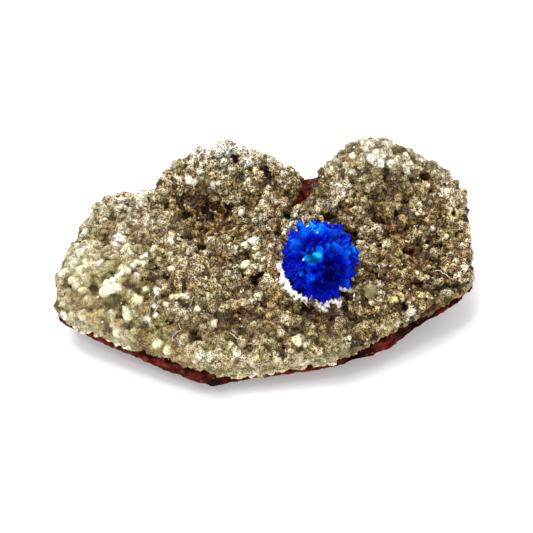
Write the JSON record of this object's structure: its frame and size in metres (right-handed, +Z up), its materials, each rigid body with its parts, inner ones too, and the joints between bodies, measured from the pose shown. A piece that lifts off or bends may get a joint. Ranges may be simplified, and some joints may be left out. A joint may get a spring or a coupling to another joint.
{
  "type": "cavansite specimen",
  "caption": "Mineral specimen: a spiny deep-blue ball of crystals on a knobbly pale brown zeolite crust, on a broken slab of red-brown basalt that lies flat.",
  "frame": {"origin": "on the surface that the slab rests on, under the middle of its outline", "axes": "+Z up, out of the crystal side; +Y from the thin front edge to the thick back edge; +X to the right, along the specimen's length"},
  "size_m": [0.0654, 0.0366, 0.0219],
  "materials": {
    "basalt": "rough broken vesicular basalt, red-brown",
    "zeolite": "sugary translucent crystal knobs, cream to olive brown",
    "cavansite": "vitreous blades, deep blue with azure tips"
  },
  "bodies": {
    "root": {"basalt_slab": "basalt", "zeolite_crust": "zeolite", "cavansite_ball": "cavansite"}
  },
  "joints": []
}
